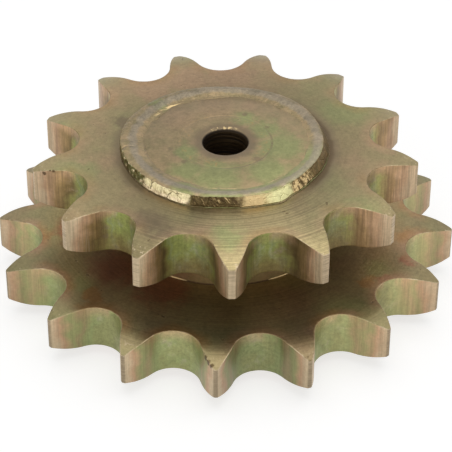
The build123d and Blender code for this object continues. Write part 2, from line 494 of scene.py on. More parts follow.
def weld_tree():
    """One weld round the axis, dressed smooth on top and left torn down its side.

    Heights are measured from the plate's face. Face says which way the bead stands.
    """
    tree, size = start_tree("Dressed weld", {
        "Columns": 1080,
        "Seam Radius": 18.35 * MM,
        "Top Radius": 22.8 * MM,
        "Foot Radius": WELD_FOOT_RADIUS,
        "Offset": 0.6 * MM,
        "Hub Stand": 1.9 * MM,
        "Crown Height": 0.68 * MM,
        "Spigot Radius": SPIGOT_RADIUS,
        "Roughness": 0.2 * MM,
        "Lap Angle": math.radians(189.5),
        "Lap Depth": 0.25 * MM,
        "Face Height": UPPER_FACE_HEIGHT,
        "Face": 1.0,
        "Seed": 1.0,
        "Material": None,
    })
    stations = 3 + len(CROWN_SHAPE) + 2 + len(SIDE_SHAPE) + 2
    geometry, column, station = closed_grid(tree, size["Columns"], stations)
    angle = column / (size["Columns"] * 1.0) * math.tau
    cosine, sine = angle.cos(), angle.sin()
    seed, rough = size["Seed"], size["Roughness"]
    circle = point(cosine, sine, 0.0)
    slow = noise(circle, 2.2, 2.0, 0.5, seed) - 0.5
    quick = noise(circle, 9.0, 4.0, 0.65, seed + 5.0) - 0.5

    lean = (angle - math.radians(LEAN_ANGLE)).cos()
    seam = size["Seam Radius"] - lean * size["Offset"] * 0.3 + slow * 1.5 * MM + quick * 0.9 * MM
    jagged = noise(circle, 24.0, 2.0, 0.6, seed + 6.0) - 0.5
    jagged = jagged * (near(angle, 226, 18) + near(angle, 260, 12) * 0.8 + 0.25)
    outer = size["Top Radius"] + lean * size["Offset"] + quick * 0.5 * MM + jagged * 1.1 * MM
    outer = waved(outer, angle, TOP_WAVES)
    foot = waved(size["Foot Radius"] + slow * 0.5 * MM + quick * 0.6 * MM, angle, FOOT_WAVES)
    foot = foot.most(outer + 0.15 * MM)
    stand, crown, spigot = size["Hub Stand"], size["Crown Height"], size["Spigot Radius"]
    shoulder = stand + crown * 0.72

    # Each station's radius, height and ruggedness, from under the seam over to the foot.
    rows = [(spigot, 0.0, 0.0), (spigot - stand * 0.9, stand * 0.9, 0.0),
            (seam, stand - 0.05 * MM, 0.0)]
    rows += [(pick(share, seam, outer - 0.1 * MM), stand + crown * rise, 0.0)
             for share, rise in CROWN_SHAPE]
    rows += [(outer, shoulder - 0.02 * MM, 0.4), (outer + 0.07 * MM, shoulder - 0.16 * MM, 0.8)]
    rows += [(pick(share, outer + 0.1 * MM, foot), (shoulder - 0.3 * MM) * fall,
              min(1.0, (1 - share) * 3)) for share, fall in SIDE_SHAPE]
    rows += [(foot - 0.2 * MM, 0.0, 0.0), (spigot + 1 * MM, 0.0, 0.0)]
    rows.append(rows[0])
    radius, height, ruggedness = (along_section(station, amounts) for amounts in zip(*rows))
    on_crown = station.above(2.5) * station.below(3.5 + len(CROWN_SHAPE))

    # Torn metal down the side: deepest where the dressing tool snatched.
    snatched = sum(near(angle, middle, width) * depth for middle, width, depth in SNATCHES) + 0.4
    place = point(cosine * radius / MM, sine * radius / MM, height / MM * 0.6)
    coarse = noise(place, 0.6, 5.0, 0.6, seed + 1.0) - 0.5
    fine = noise(place, 2.4, 4.0, 0.6, seed + 2.0) - 0.5
    swell = noise(place, 0.22, 2.0, 0.5, seed + 3.0) - 0.5
    radius = radius + ruggedness * rough * snatched * (coarse * 4.5 + fine * 1.8)
    height = height + ruggedness * rough * snatched * (coarse - 0.25)
    height = height + on_crown * (swell * 0.45 * MM + coarse * 0.12 * MM + fine * 0.06 * MM)

    # The bead's end laps over its beginning in a curved fold.
    across = (radius - size["Top Radius"] + 0.9 * MM) / MM
    past_lap = ((angle - size["Lap Angle"]) * radius / MM) - across * across * 0.35
    outside = radius.smooth(size["Top Radius"] - 3.2 * MM, size["Top Radius"] - 0.9 * MM)
    fold = (-(past_lap * past_lap) / 0.06).exponential() * outside
    lip = (-((past_lap - 0.75) * (past_lap - 0.75)) / 0.3).exponential() * outside
    height = height + on_crown * size["Lap Depth"] * (lip * 0.7 - fold)
    height = height.least(stand + crown + 0.01 * MM)
    geometry = place_points(geometry, radius * cosine, radius * sine,
                            size["Face Height"] + size["Face"] * height)
    geometry = mark(geometry, "side", ruggedness)
    # The fold is marked for the material, which paints shade into it.
    geometry = mark(geometry, "fold", fold * on_crown)
    end_tree(tree, geometry, size["Material"])
    return tree


# --- Meshes ---


def keep_outward(shell, mesh):
    """Turns the faces of a closed shell outwards and keeps it as the mesh."""
    bmesh.ops.recalc_face_normals(shell, faces=shell.faces)
    shell.to_mesh(mesh)
    shell.free()


def add_object(name, data):
    """An object in the scene for a mesh, a lamp or a camera."""
    item = bpy.data.objects.new(name, data)
    bpy.context.scene.collection.objects.link(item)
    return item


def grow(name, tree, values):
    """Runs a tree once and keeps what it makes as a plain mesh."""
    piece = add_object(name, bpy.data.meshes.new(name + "_start"))
    modifier = piece.modifiers.new("Shape", "NODES")
    modifier.node_group = tree
    sockets = {
        item.name: item.identifier
        for item in tree.interface.items_tree
        if item.item_type == "SOCKET" and item.in_out == "INPUT"
    }
    for label, value in values.items():
        modifier[sockets[label]] = value
    shown = piece.evaluated_get(bpy.context.evaluated_depsgraph_get())
    mesh = bpy.data.meshes.new_from_object(shown)
    piece.modifiers.remove(modifier)
    mesh.name = name
    piece.data = mesh
    shell = bmesh.new()
    shell.from_mesh(mesh)
    keep_outward(shell, mesh)
    return piece


def turned(name, profile, segments, material):
    """A closed profile of (radius, height) turned round the axis."""
    mesh = bpy.data.meshes.new(name)
    shell = bmesh.new()
    rings = []
    for number in range(segments):
        a = math.tau * number / segments
        rings.append([shell.verts.new((r * math.cos(a), r * math.sin(a), z)) for r, z in profile])
    for this, following in zip(rings, rings[1:] + rings[:1]):
        for k in range(len(profile)):
            j = (k + 1) % len(profile)
            shell.faces.new((this[k], following[k], following[j], this[j])).smooth = True
    keep_outward(shell, mesh)
    mesh.materials.append(material)
    return add_object(name, mesh)


def dress(piece, node):
    """Puts a piece in the frame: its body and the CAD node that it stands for."""
    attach(piece, BODY)
    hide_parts(node)


# --- Finishes ---


def start_material(name):
    """An empty material: itself, its tree and its shader."""
    material = bpy.data.materials.new(name)
    material.use_nodes = True
    tree = material.node_tree
    tree.nodes.clear()
    shader = add_node(tree, "ShaderNodeBsdfPrincipled")
    add_node(tree, "ShaderNodeOutputMaterial", {"Surface": shader.outputs[0]})
    return material, tree, shader


def end_material(shader, tint, metallic, roughness, height):
    """Gives the shader its colour, its share of metal, its roughness and its bump, in mm."""
    bump = add_node(shader.id_data, "ShaderNodeBump",
                    {"Height": height, "Distance": MM, "Strength": 1.0})
    for name, item in (("Base Color", tint), ("Metallic", metallic), ("Roughness", roughness),
                       ("Normal", bump.outputs[0])):
        plug(item, shader.inputs[name])


def object_place(tree):
    """The place on the piece in millimetres: the vector, x, y, z and the radius."""
    coordinates = add_node(tree, "ShaderNodeTexCoord")
    scaled = add_node(
        tree, "ShaderNodeVectorMath", {0: coordinates.outputs["Object"], "Scale": 1 / MM},
        operation="SCALE")
    parts = add_node(tree, "ShaderNodeSeparateXYZ", {0: scaled.outputs[0]})
    x, y, z = (Term(output) for output in parts.outputs)
    return scaled.outputs[0], x, y, z, length(x, y)


def ramp(amount, stops):
    """A colour for each amount, through the stops given as (place, colour)."""
    node = add_node(tree_of(amount), "ShaderNodeValToRGB", {0: amount})
    elements = node.color_ramp.elements
    while len(elements) < len(stops):
        elements.new(0.5)
    for element, (place, tint) in zip(elements, stops):
        element.position = place
        element.color = (*tint, 1.0)
    return node.outputs[0]


def blend(amount, first, second, way="MIX"):
    """Mixes two colours."""
    node = add_node(tree_of(amount, first, second), "ShaderNodeMix",
                    {0: amount, 6: first, 7: second}, data_type="RGBA", blend_type=way)
    return node.outputs[2]


def shade(tint, amount):
    """A colour made darker or lighter by an amount that is 1 for no change."""
    grey = add_node(
        tree_of(amount), "ShaderNodeCombineColor", {0: amount, 1: amount, 2: amount})
    return blend(1.0, tint, grey.outputs[0], "MULTIPLY")


def attribute(tree, name):
    """An amount that the piece's own tree marked on its points."""
    node = add_node(tree, "ShaderNodeAttribute", attribute_name=name, attribute_type="GEOMETRY")
    return Term(node.outputs["Fac"])


def spot(x, y, at, size, ragged=0.0):
    """1 inside a round patch about a point in millimetres, fading to 0 outside it."""
    away = length(x - at[0], y - at[1]) + ragged
    return 1 - away.smooth(size * 0.35, size * 1.15)


def sector(x, y, radius, middle, half, soft=8.0):
    """1 in a sector about the axis, given by its middle and half width in degrees."""
    along = (x * math.cos(math.radians(middle)) + y * math.sin(math.radians(middle))) / radius
    return along.smooth(math.cos(math.radians(half + soft)), math.cos(math.radians(half - soft)))


def plated_face(place, paint, seed):
    """Clouds of the passivated zinc: tan, with soft green and pink patches."""
    wide = noise(place, 0.05, 3.0, 0.55, seed)
    warm = noise(place, 0.07, 3.0, 0.6, seed + 7.0)
    body = blend(warm.smooth(0.45, 0.7) * 0.55, paint.tan, paint.pink)
    return blend(wide.smooth(0.48, 0.68) * 0.5, body, paint.green)


def patches(x, y, spots, ragged):
    """Soft patches, from 0 to 1; each spot is x, y and size in millimetres."""
    cover = None
    for at_x, at_y, size in spots:
        one = spot(x, y, (at_x, at_y), size, ragged)
        cover = one if cover is None else cover.most(one)
    return cover


def patch(x, y, ragged, body, tint, spots, strength):
    """Lays soft patches of a colour over a face."""
    return blend(patches(x, y, spots, ragged) * strength, body, tint)


def turning(x, y, radius, seed):
    """Fine rings left by the lathe, from 0 to 1."""
    wander = noise(point(x * 0.05, y * 0.05, 0.0), 1.0, 1.0, 0.5, seed) * 0.8
    return noise(point(radius + wander, 0.0, 0.0), 1.6, 2.0, 0.75, seed + 2.0)


def gap_wall(paint, look, here, out, level, seed):
    """Colour and height of the walls of the tooth gaps, streaked along the cut.

    out runs from 0 at a gap's root to 1 at the tips.
    """
    place, x, y, z, radius = here
    streak_place = point(x, y, z * 0.03)
    broad = noise(streak_place, 0.4, 3.0, 0.6, seed + 8.0)
    thin = noise(streak_place, 1.5, 3.0, 0.75, seed + 9.0)
    hair = noise(streak_place, 3.4, 2.0, 0.6, seed + 10.0)
    drift = noise(place, 0.14, 2.0, 0.5, seed + 11.0)
    blotch = noise(place, 0.42, 4.0, 0.65, seed + 12.0)
    speck = noise(place, 1.6, 2.0, 0.7, seed + 13.0)
    shift = (broad - 0.5) * 0.3 + (drift - 0.5) * 0.95 + (blotch - 0.5) * 0.35
    tinted = ramp((out + shift * (1 - out * 0.4)).clamp(),
                  [(stop, getattr(paint, tint)) for stop, tint in look["wall"]])

    # The root is greener half way up, and browner below.
    root = 1 - out.smooth(0.05, 0.4)
    low = 1 - (level + (blotch - 0.5) * 1.6).smooth(-0.9, 0.35)
    tinted = blend(root * low * look["low"], tinted, paint.ochre)
    bloom = blotch.smooth(0.52, 0.64) * drift.smooth(0.42, 0.56) * root
    tinted = blend(bloom * 0.4, tinted, paint.lilac)
    upper = level.smooth(0.4, 1.0) * (drift * 0.6 + broad * 0.4).smooth(0.42, 0.54)
    tinted = blend(upper * (1 - out.smooth(0.3, 0.7)) * 0.6, tinted, paint.rose)

    # Painted light and shade: walls that look sideways are painted lighter in mid-wall than those
    # at the front, the root is painted lighter or darker, the upper part of each wall lighter, and
    # some sectors lighter or darker.
    front = sector(x, y, radius, 268, 42, 26)
    right = sector(x, y, radius, 350, 40, 22)
    left = sector(x, y, radius, 170, 30, 20)
    middle = (out - 0.34).near_zero(0.01, 0.12)
    tinted = blend(right * 0.3 * (1 - root * 0.5), tinted, paint.rose)
    tinted = blend(left * out.smooth(0.25, 0.7) * 0.25, tinted, paint.rose)
    lift = (1 - front) * (middle * look["lift"] - root * 0.12) + 1
    lift = lift * pick(root, 1.0, look["root"])
    for middle_angle, half, amount in look["painted_wall_light"]:
        lift = lift * (sector(x, y, radius, middle_angle, half, 5) * amount + 1)
    strength = (1 - root * 0.65) * look["streak"]
    streaks = 1 + ((thin.smooth(0.26, 0.74) - 0.5) * 0.55 + (hair - 0.5) * 0.55) * strength
    spotted = (speck - 0.5) * (root * 0.5 + 0.5) + (blotch - 0.5) * root * 0.8
    value = streaks * (1.15 + spotted) * lift * (level * 0.1 + 1.02) * 1.12
    gap = shade(tinted, value)
    dark = (thin * 0.6 + broad * 0.4).smooth(0.54, 0.64) * (1 - out.smooth(0.75, 1.0))
    gap = blend(dark * out.smooth(0.0, 0.3) * 0.6 * strength, gap, paint.brown)
    lines = hair.smooth(0.56, 0.68) * out.smooth(0.12, 0.35) * (1 - out.smooth(0.85, 1.0))
    gap = blend(lines * 0.4 * strength, gap, paint.brown)
    pale = (hair * 0.6 + broad * 0.4).smooth(0.56, 0.64) * out.smooth(0.2, 0.7)
    gap = blend(pale * 0.5 * strength, gap, paint.cream)

    # Milling lines run along the tips.
    tip_lines = noise(point(x * 0.05, y * 0.05, z), 3.4, 2.0, 0.7, seed + 14.0)
    # The tips are painted cream, as bright metal and as a painted highlight scaled by land.
    at_tip = out.smooth(0.97, 1.0)
    gap = blend(at_tip * 0.6, gap, shade(paint.cream, look["land"] + speck * 0.4))
    gap = blend(at_tip * tip_lines.smooth(0.42, 0.62) * 0.4, gap, paint.soil)
    return gap, thin * 0.07 + hair * 0.025 + broad * 0.1, hair


def plate_zinc(name, paint, sizes, teeth, turn, look, seed):
    """Zinc on a plate: turned faces, and walls of the tooth gaps streaked along the cut."""
    pitch_radius = sizes.chain_pitch / (2 * math.sin(math.pi / teeth)) / MM
    root_radius = pitch_radius - sizes.seat_radius / MM
    tip_radius = pitch_radius + sizes.tip_height / MM
    material, tree, shader = start_material(name)
    here = place, x, y, z, radius = object_place(tree)
    rim = attribute(tree, "rim")
    level = attribute(tree, "level")
    wall = rim.smooth(0.6, 0.97)
    edge = (rim * (1 - rim) * 4).smooth(0.3, 0.95)
    out = (radius - root_radius) / (tip_radius - root_radius)

    # Faces
    grain = noise(place, 1.5, 3.0, 0.7, seed + 4.0)
    mottle = noise(place, 0.3, 4.0, 0.6, seed + 5.0)
    wander = mottle - 0.5
    ragged = wander * 9
    body = plated_face(place, paint, seed)
    for tint, strength in (("soil", 0.7), ("pink", 0.85), ("green", 0.85), ("rust", 0.9),
                           ("amber", 0.85)):
        if look.get(tint):
            body = patch(x, y, ragged, body, getattr(paint, tint), look[tint], strength)
    rings = turning(x, y, radius, seed)
    share = (y.angle_from(x) - turn) / math.tau * teeth + teeth
    swing = (share - share.floor() - 0.5) * (math.tau / teeth)
    seat = length(radius * swing.cos() - pitch_radius, radius * swing.sin())
    halo = (1 - (seat + wander * 4).smooth(6.4, 9.6)) * (1 - out.smooth(0.15, 0.6))
    ripe = noise(place, 0.11, 2.0, 0.5, seed + 15.0).smooth(0.4, 0.6)
    body = blend(halo * look["halo"], body, blend(ripe, paint.rose, paint.amber))
    front = sector(x, y, radius, 280, 34, 14)
    crisp = rings.smooth(0.34, 0.66) - 0.5
    scratch = (rings - 0.5) * 0.3 + crisp * front * look["turned"] * grain.smooth(0.2, 0.6)
    # Painted light and shade: lighter towards the teeth, and lighter or darker in sectors as a
    # painted sheen of the turned faces.
    rise = ((radius - 27) / 14).clamp()
    value = (0.4 + scratch + grain * 0.96 + mottle * 0.3) * (0.86 + rise * look["rise"])
    for middle, half, soft, begin, amount in look["light"]:
        lit = sector(x, y, radius, middle, half, soft) * radius.smooth(begin, begin + 6)
        value = value * (lit * amount + 1)
    # Painted light near the middle, where the large plate lies in the upper plate's shade, with an
    # amber tint.
    deep = 1 - radius.smooth(36.0, 45.0)
    value = value * (deep * look["deep"] + 1)
    body = blend(deep * look["deep"] * 0.8, body, paint.amber)
    face = shade(body, value)
    # Grey-brown round the weld's foot: partly grime, partly painted shade, fainter in front; and a
    # brown crescent on the bead's right as painted shadow.
    past_weld = radius - WELD_FOOT_RADIUS / MM
    stain = 1 - (past_weld + wander * 2.2).smooth(0.8, 3.6)
    face = blend(stain * (0.7 - front * 0.6), face, paint.soil)
    painted_shadow_crescent = 1 - (past_weld + wander * 1.4).smooth(0.4, 1.6)
    face = blend(painted_shadow_crescent * sector(x, y, radius, 10, 48, 12) * 0.7, face, paint.brown)
    pits = noise(place, 0.62, 1.0, 0.5, seed + 30.0).smooth(0.75, 0.77)
    face = blend(pits * 0.6, face, paint.brown)

    gap, gap_height, hair = gap_wall(paint, look, here, out, level, seed)
    whole = blend(wall, face, gap)
    # Along the cut edges: a dark line, darker deep in the gaps, and a broken bright line; partly
    # burr and wear, partly painted shade and painted highlight on the rounding.
    worn = edge * (grain * 0.6 + mottle * 0.8).smooth(0.55, 0.95)
    deep = 1 - (out + wander * 0.6).smooth(0.15, 0.5)
    whole = blend(edge * (0.3 + deep * 0.45), whole, paint.umber)
    whole = blend(worn * (1 - deep * 0.7) * 0.9, whole, paint.burr)
    scuff = noise(place, 1.1, 2.0, 0.6, seed + 16.0).smooth(0.6, 0.68)
    scuff = scuff * out.smooth(0.55, 0.85) * level.smooth(0.85, 0.97)
    whole = blend(scuff * 0.45, whole, paint.burr)
    for at_x, at_y, at_z, size in look["nicks"]:
        away = length(length(x - at_x, y - at_y), z - at_z) + (grain - 0.5) * 0.8
        whole = blend((1 - away.smooth(size * 0.5, size)) * 0.85, whole, paint.brown)

    shader.inputs["Specular IOR Level"].default_value = 0.3
    face_height = rings * 0.045 + grain * 0.02 + mottle * 0.04 - pits * 0.03
    end_material(shader, whole, pick(wall, METALLIC, 0.6),
                 pick(wall, 0.3 + grain * 0.14, 0.42 + (hair - 0.5) * 0.2),
                 pick(wall, face_height, gap_height))
    return material


def hub_zinc(name, paint, sizes, toe_height):
    """Zinc on the hub: turned ends and collar, and a pilot bore painted near black as painted
    shade.
    """
    bore_radius, collar_radius = sizes.bore_radius / MM, sizes.collar_radius / MM
    material, tree, shader = start_material(name)
    place, x, y, z, radius = object_place(tree)
    grain = noise(place, 1.5, 3.0, 0.7, 22.0)
    mottle = noise(place, 0.35, 4.0, 0.6, 23.0)
    wander = mottle - 0.5
    ragged = wander * 7
    body = blend(mottle.smooth(0.3, 0.7) * 0.45, paint.tan, paint.pink)
    body = patch(x, y, ragged, body, paint.green, (
        (12.5, -1.5, 6.5), (4.5, 9.5, 3.5), (-1.5, -13.5, 7.0), (-7.5, -12.0, 5.0),
        (9.0, 5.0, 4.5), (-8.0, -4.5, 3.8), (10.0, -11.0, 6.2)), 1.0)
    body = patch(x, y, ragged, body, paint.pink, (
        (-3.0, 14.0, 6.0), (-11.0, 9.0, 6.0), (5.0, 15.0, 3.0)), 0.5)
    rings = turning(x, y, radius, 21.0)
    cloud = noise(place, 0.8, 3.0, 0.65, 28.0)
    # The face is painted lighter towards +x, as painted light on that side.
    face = shade(body, 0.1 + rings * 0.14 + grain * 0.58 + mottle * 0.46 + cloud * 0.48
                 + x * 0.007)
    freckle = cloud.smooth(0.56, 0.7) * (1 - radius.smooth(9.0, 13.0))
    face = blend(freckle * 0.45, face, paint.amber)
    scribe = (radius - SCRIBED_RADIUS / MM).near_zero(0.01, 0.12)
    scribe = scribe * sector(x, y, radius, 330, 62, 15) * grain.smooth(0.3, 0.6)
    face = blend(scribe * 0.55, face, paint.soil)
    marks = noise(place, 0.75, 2.0, 0.5, 26.0).smooth(0.7, 0.75)
    face = blend(marks * 0.5, face, paint.soil)
    for at_x, at_y, size in ((4.0, 11.3, 0.9), (9.4, 6.3, 0.7), (7.4, -6.7, 1.3), (-9.0, -8.4, 0.9),
                             (-12.2, -3.6, 0.8)):
        stain = spot(x, y, (at_x, at_y), size, (grain - 0.5) * 1.2)
        face = blend(stain * 0.6, face, paint.soil)
    mouth = 1 - (radius + wander * 1.6).smooth(bore_radius + 1.1, bore_radius + 3.5)
    face = blend(mouth * 0.75, face, paint.rim)
    lip = 1 - radius.smooth(bore_radius + 0.65, bore_radius + 1.2)
    glint = lip * sector(x, y, radius, 96, 30, 8) * grain.smooth(0.5, 0.6)
    face = blend(glint * 0.8, face, paint.gold)
    # Inside the bore: painted shade, near black with brown tool ridges.
    bore = 1 - radius.smooth(bore_radius + 0.1, bore_radius + 0.4)
    ridges = noise(point(x * 0.03, y * 0.03, z), 1.1, 2.0, 0.6, 27.0)
    face = blend(bore, face, ramp(ridges, [(0.4, paint.bore), (0.62, paint.brown)]))
    # At the collar's foot: painted shade in brown, with two painted glints in gold.
    toe = 1 - z.smooth(toe_height + 0.15, toe_height + 0.3)
    toe = toe * radius.above(collar_radius - 1.1)
    shine = sector(x, y, radius, 247, 4, 2).most(sector(x, y, radius, 301, 5, 2))
    face = blend(toe, face, blend(shine, paint.brown, paint.gold))
    height = rings * 0.03 + grain * 0.02 + mottle * 0.05 - scribe * 0.02 - marks * 0.03
    end_material(shader, face, METALLIC, 0.34 + grain * 0.14 + bore * 0.15 - toe * 0.1,
                 pick(bore, height, ridges * 0.5))
    return material


def weld_zinc(name, paint):
    """Zinc on a weld: a smooth lilac crown, and torn, hatched and gold metal down its side."""
    material, tree, shader = start_material(name)
    place, x, y, z, radius = object_place(tree)
    fold = attribute(tree, "fold")
    grain = noise(place, 1.5, 4.0, 0.7, 42.0)
    mottle = noise(place, 0.5, 4.0, 0.6, 43.0)
    wander = mottle - 0.5
    side = (attribute(tree, "side") + wander * 0.5).smooth(0.25, 0.55)
    ragged = wander * 5

    # Crown
    body = blend(mottle.smooth(0.3, 0.7) * 0.5, paint.tan, paint.pink)
    body = patch(x, y, ragged, body, paint.green, (
        (0.0, -21.0, 6.0), (-8.0, -19.5, 4.0), (20.5, -6.0, 6.0), (16.5, -13.0, 6.0),
        (9.0, -18.0, 5.0), (-16.0, 14.0, 2.5)), 1.0)
    crest = (radius - 21.0 - wander * 2.0).near_zero(0.1, 1.8)
    body = blend(crest * 0.75, body, paint.lilac)
    cloud = noise(place, 0.18, 3.0, 0.6, 49.0)
    # pale: the crown painted lighter at the front right and darker at the back, as painted light
    # and shade.
    pale = sector(x, y, radius, 315, 50, 25) * 0.2 - sector(x, y, radius, 105, 60, 30) * 0.17
    swirl = noise(point(x, y, z * 0.2), 0.75, 3.0, 0.6, 50.0, 2.2)
    lump = swirl.smooth(0.3, 0.7) - 0.5
    top = shade(body, 0.09 + grain * 0.5 + mottle * 0.82 + cloud * 0.44 + lump * 0.26 + pale)
    smear = swirl.smooth(0.56, 0.66) * patches(x, y, (
        (-7.0, -17.8, 3.0), (-14.0, -12.8, 2.0), (-19.6, 1.0, 4.0), (-17.5, -9.0, 2.5)), ragged)
    top = blend(smear * 0.6, top, paint.soil)
    seam = (radius - 18.5 - wander * 1.2).near_zero(0.01, 0.09) * grain.smooth(0.35, 0.6)
    top = blend(seam * 0.45, top, paint.soil)
    bevel = (radius - 19.2).near_zero(0.05, 0.16)
    facets = noise(point((x * 0.55 - y * 1.3) * 1.4, radius * 0.7, 0.0), 0.8, 1.0, 0.5, 45.0)
    glint = bevel * sector(x, y, radius, 124, 24, 5) * facets.smooth(0.49, 0.54)
    thread = (radius - 18.75).near_zero(0.004, 0.03)
    glint = glint.most(thread * sector(x, y, radius, 285, 24, 6) * mottle.smooth(0.42, 0.5))
    top = blend(glint * 0.9, top, paint.gold)
    # The fold is painted dark, as painted shade in the crease.
    top = blend(fold.smooth(0.3, 0.9) * 0.8, top, paint.soil)

    # Side, as it goes round from the rough start on the left to the right, which is painted dark as
    # painted shadow; the bright part on the left is partly pale torn metal and partly painted
    # highlight.
    warp = noise(place, 0.6, 4.0, 0.6, 46.0)
    turned_x, turned_y = x + (warp - 0.5) * 5, y + wander * 5
    torn = noise(place, 0.8, 5.0, 0.65, 44.0)
    sheet = point(x * 0.5 + z * 0.22 + (warp - 0.5) * 1.2, y * 0.35, z * 0.75)
    cells = add_node(tree, "ShaderNodeTexVoronoi", {"Vector": sheet, "Scale": 0.62},
                     feature="DISTANCE_TO_EDGE")
    crack = (1 - Term(cells.outputs["Distance"]).smooth(0.0, 0.06)) * torn.smooth(0.42, 0.55)
    hatch = noise(point(x * 2.3 + z * 1.9, y * 1.9, z * 0.4), 0.9, 3.0, 0.7, 47.0)
    upright = noise(point(x * 1.2, y * 1.2, z * 0.1), 0.9, 3.0, 0.7, 48.0)
    whole_side = ramp(torn, [
        (0.32, paint.brown), (0.46, paint.olive), (0.58, paint.ochre), (0.7, paint.gold)])
    rugged = ramp(torn, [
        (0.36, paint.umber), (0.46, paint.olive), (0.54, paint.green), (0.62, paint.bright)])
    bright = shade(paint.bright, 0.85 + torn * 0.6)
    rise = z - UPPER_FACE_HEIGHT / MM
    bright = blend(rise.smooth(0.6, 1.4) * 0.45, bright, paint.pale_green)
    bright = blend(crack * 0.8, bright, paint.umber)
    hatched = ramp(hatch, [
        (0.4, paint.brown), (0.52, paint.umber), (0.6, paint.ochre), (0.7, paint.gold)])
    golden = shade(paint.gold, 0.5 + torn * 0.5 + upright * 0.5)
    lime = shade(paint.pale_green, 0.75 + upright * 0.5)
    cut = ramp(upright, [(0.38, paint.umber), (0.48, paint.ochre), (0.56, paint.gold)])
    dark = ramp(torn, [(0.36, paint.umber), (0.6, paint.ochre)])
    for middle, half, soft, part in (
            (206, 14, 2, rugged), (237, 15, 2, bright), (289, 13, 3, golden),
            (267, 14, 4, hatched), (305, 8, 5, lime), (321, 9, 3, cut), (10, 40, 4, dark)):
        cover = sector(turned_x, turned_y, length(turned_x, turned_y), middle, half, soft)
        whole_side = blend(cover, whole_side, part)
    # Near the foot the side is painted towards the plate's tan: partly spatter, partly painted
    # light over the shade where the bead meets the plate.
    foot = 1 - (rise + (torn - 0.5) * 0.5).smooth(0.0, 0.35)
    whole_side = blend(foot * 0.7, whole_side, paint.tan)
    torn_height = torn * 0.2 + hatch * 0.12 - crack * 0.08
    end_material(shader, blend(side, top, whole_side), METALLIC, 0.34 + grain * 0.16,
                 grain * 0.03 + mottle * 0.08 + side * torn_height)
    return material


# --- Settings ---

LENGTH = {"unit": "LENGTH", "precision": 5}
TINT = {"subtype": "COLOR", "size": 3, "min": 0, "max": 1}


class SprocketSizes(bpy.types.PropertyGroup):
    """Sizes of the sprocket's metal."""

    chain_pitch: FloatProperty(
        name="Chain pitch", description="From pin to pin", default=19.05 * MM, **LENGTH)
    small_teeth: IntProperty(
        name="Small teeth", description="Teeth of the upper plate", default=13, min=9)
    large_teeth: IntProperty(
        name="Large teeth", description="Teeth of the lower plate", default=16, min=9)
    seat_radius: FloatProperty(
        name="Seat radius", description="Hollow in which a roller sits", default=6.2 * MM, **LENGTH)
    seating_angle: FloatProperty(
        name="Seating angle", description="Angle of the hollow seat",
        default=math.radians(123), unit="ROTATION")
    flank_radius: FloatProperty(
        name="Flank radius", description="Bulging working flank of a tooth",
        default=27 * MM, **LENGTH)
    tip_height: FloatProperty(
        name="Tip height", description="From the pitch circle out to the tips",
        default=4 * MM, **LENGTH)
    tip_corner: FloatProperty(
        name="Tip corner", description="Rounding between a flank and its tip",
        default=0.45 * MM, **LENGTH)
    thickness: FloatProperty(
        name="Plate thickness", description="Of each toothed plate", default=10.6 * MM, **LENGTH)
    side_radius: FloatProperty(
        name="Side radius", description="Radius turned on the sides of the teeth",
        default=19.05 * MM, **LENGTH)
    side_relief: FloatProperty(
        name="Side relief", description="Drop of the side radius at the tips",
        default=1.45 * MM, **LENGTH)
    edge_rounding: FloatProperty(
        name="Edge rounding", description="Broken edge along the tooth gaps",
        default=0.18 * MM, **LENGTH)
    small_turn: FloatProperty(
        name="Small plate turn", description="How the upper plate was set before welding",
        default=math.radians(4), unit="ROTATION")
    bore_radius: FloatProperty(
        name="Bore radius", description="Pilot bore of the hub", default=5.1 * MM, **LENGTH)
    collar_radius: FloatProperty(
        name="Collar radius", description="Hub between the plates", default=25.1 * MM, **LENGTH)


